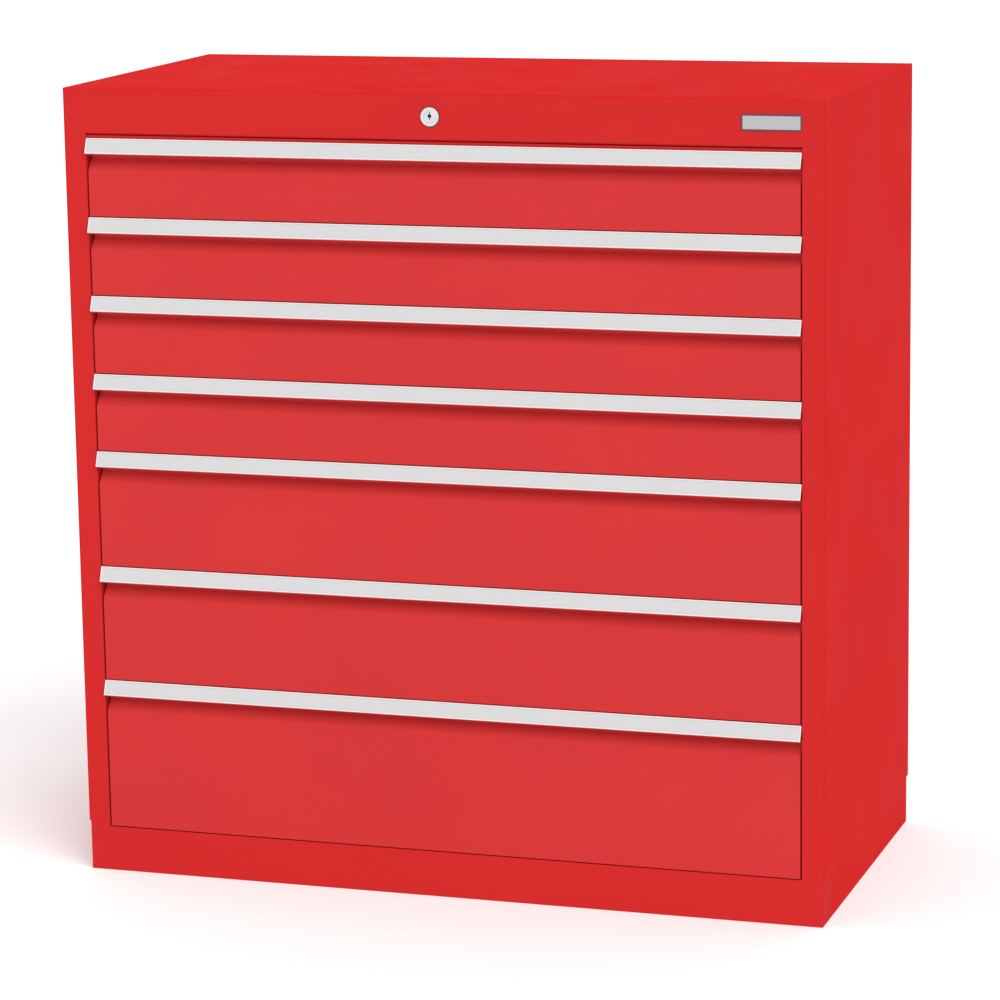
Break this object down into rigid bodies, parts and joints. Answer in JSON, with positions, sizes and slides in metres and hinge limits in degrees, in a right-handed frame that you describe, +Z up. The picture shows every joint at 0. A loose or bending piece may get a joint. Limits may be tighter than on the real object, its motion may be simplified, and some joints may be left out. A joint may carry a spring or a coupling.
{
  "type": "drawer cabinet",
  "caption": "Free-standing sheet-steel cabinet with full-width drawers on telescopic slides, leaning metal grip strips and a central key lock.",
  "frame": {"origin": "bottom centre of the whole cabinet, on the floor", "axes": "+X to the right seen from the front, +Y from the front to the back, +Z up; the drawers open towards -Y"},
  "size_m": [0.98, 0.4964, 1.017],
  "materials": {
    "red_powder_coat": "semi-gloss powder coat",
    "grip_metal": "satin anodised",
    "zinc_steel": "zinc plated",
    "lock_chrome": "nickel plated, satin",
    "plate_metal": "satin",
    "screw_steel": "zinc plated"
  },
  "bodies": {
    "cabinet": {"left_side_panel": "red_powder_coat", "right_side_panel": "red_powder_coat", "left_front_upright": "red_powder_coat", "right_front_upright": "red_powder_coat", "left_rear_post": "red_powder_coat", "right_rear_post": "red_powder_coat", "back_panel": "red_powder_coat", "back_screws": "screw_steel", "top_cover": "red_powder_coat", "top_rail": "red_powder_coat", "base_front": "red_powder_coat", "base_rear": "red_powder_coat", "base_sides": "red_powder_coat", "base_pan": "red_powder_coat", "left_cabinet_rails": "zinc_steel", "right_cabinet_rails": "zinc_steel", "lock_housing": "lock_chrome", "lock_nut": "zinc_steel", "blank_plate": "plate_metal"},
    "drawer_1": {"drawer_1_front": "red_powder_coat", "drawer_1_grip": "grip_metal", "drawer_1_tray": "red_powder_coat", "drawer_1_inner_rails": "zinc_steel"},
    "runner_1": {"drawer_1_middle_rails": "zinc_steel"},
    "drawer_2": {"drawer_2_front": "red_powder_coat", "drawer_2_grip": "grip_metal", "drawer_2_tray": "red_powder_coat", "drawer_2_inner_rails": "zinc_steel"},
    "runner_2": {"drawer_2_middle_rails": "zinc_steel"},
    "drawer_3": {"drawer_3_front": "red_powder_coat", "drawer_3_grip": "grip_metal", "drawer_3_tray": "red_powder_coat", "drawer_3_inner_rails": "zinc_steel"},
    "runner_3": {"drawer_3_middle_rails": "zinc_steel"},
    "drawer_4": {"drawer_4_front": "red_powder_coat", "drawer_4_grip": "grip_metal", "drawer_4_tray": "red_powder_coat", "drawer_4_inner_rails": "zinc_steel"},
    "runner_4": {"drawer_4_middle_rails": "zinc_steel"},
    "drawer_5": {"drawer_5_front": "red_powder_coat", "drawer_5_grip": "grip_metal", "drawer_5_tray": "red_powder_coat", "drawer_5_inner_rails": "zinc_steel"},
    "runner_5": {"drawer_5_middle_rails": "zinc_steel"},
    "drawer_6": {"drawer_6_front": "red_powder_coat", "drawer_6_grip": "grip_metal", "drawer_6_tray": "red_powder_coat", "drawer_6_inner_rails": "zinc_steel"},
    "runner_6": {"drawer_6_middle_rails": "zinc_steel"},
    "drawer_7": {"drawer_7_front": "red_powder_coat", "drawer_7_grip": "grip_metal", "drawer_7_tray": "red_powder_coat", "drawer_7_inner_rails": "zinc_steel"},
    "runner_7": {"drawer_7_middle_rails": "zinc_steel"},
    "lock": {"lock_plug": "lock_chrome", "lock_cam": "zinc_steel"},
    "draw_bar": {"draw_bar": "zinc_steel"},
    "locking_bar": {"locking_bar": "zinc_steel", "lock_fingers": "zinc_steel", "lock_link": "zinc_steel"}
  },
  "joints": [
    {"name": "drawer_1_slide", "type": "slide", "parent": "cabinet", "child": "drawer_1", "axis": [0, -1, 0], "range_m": [0, 0.4]},
    {"name": "runner_1_slide", "type": "slide", "parent": "cabinet", "child": "runner_1", "axis": [0, -1, 0], "range_m": [0, 0.2]},
    {"name": "drawer_2_slide", "type": "slide", "parent": "cabinet", "child": "drawer_2", "axis": [0, -1, 0], "range_m": [0, 0.4]},
    {"name": "runner_2_slide", "type": "slide", "parent": "cabinet", "child": "runner_2", "axis": [0, -1, 0], "range_m": [0, 0.2]},
    {"name": "drawer_3_slide", "type": "slide", "parent": "cabinet", "child": "drawer_3", "axis": [0, -1, 0], "range_m": [0, 0.4]},
    {"name": "runner_3_slide", "type": "slide", "parent": "cabinet", "child": "runner_3", "axis": [0, -1, 0], "range_m": [0, 0.2]},
    {"name": "drawer_4_slide", "type": "slide", "parent": "cabinet", "child": "drawer_4", "axis": [0, -1, 0], "range_m": [0, 0.4]},
    {"name": "runner_4_slide", "type": "slide", "parent": "cabinet", "child": "runner_4", "axis": [0, -1, 0], "range_m": [0, 0.2]},
    {"name": "drawer_5_slide", "type": "slide", "parent": "cabinet", "child": "drawer_5", "axis": [0, -1, 0], "range_m": [0, 0.4]},
    {"name": "runner_5_slide", "type": "slide", "parent": "cabinet", "child": "runner_5", "axis": [0, -1, 0], "range_m": [0, 0.2]},
    {"name": "drawer_6_slide", "type": "slide", "parent": "cabinet", "child": "drawer_6", "axis": [0, -1, 0], "range_m": [0, 0.4]},
    {"name": "runner_6_slide", "type": "slide", "parent": "cabinet", "child": "runner_6", "axis": [0, -1, 0], "range_m": [0, 0.2]},
    {"name": "drawer_7_slide", "type": "slide", "parent": "cabinet", "child": "drawer_7", "axis": [0, -1, 0], "range_m": [0, 0.4]},
    {"name": "runner_7_slide", "type": "slide", "parent": "cabinet", "child": "runner_7", "axis": [0, -1, 0], "range_m": [0, 0.2]},
    {"name": "lock_turn", "type": "hinge", "parent": "cabinet", "child": "lock", "pos_m": [-0.0036, -0.24083, 0.98865], "axis": [0, 1, 0], "range_deg": [0, 90]},
    {"name": "draw_bar_slide", "type": "slide", "parent": "cabinet", "child": "draw_bar", "axis": [1, 0, 0], "range_m": [0, 0.01697]},
    {"name": "locking_bar_lift", "type": "slide", "parent": "cabinet", "child": "locking_bar", "axis": [0, 0, 1], "range_m": [0, 0.0075]}
  ],
  "couplings": [
    {"joint": "runner_1_slide", "follows": "drawer_1_slide", "ratio": 0.5},
    {"joint": "runner_2_slide", "follows": "drawer_2_slide", "ratio": 0.5},
    {"joint": "runner_3_slide", "follows": "drawer_3_slide", "ratio": 0.5},
    {"joint": "runner_4_slide", "follows": "drawer_4_slide", "ratio": 0.5},
    {"joint": "runner_5_slide", "follows": "drawer_5_slide", "ratio": 0.5},
    {"joint": "runner_6_slide", "follows": "drawer_6_slide", "ratio": 0.5},
    {"joint": "runner_7_slide", "follows": "drawer_7_slide", "ratio": 0.5},
    {"joint": "lock_turn", "follows": "draw_bar_slide", "rad_per_m": 92.56},
    {"joint": "locking_bar_lift", "follows": "draw_bar_slide", "ratio": 0.44195}
  ]
}
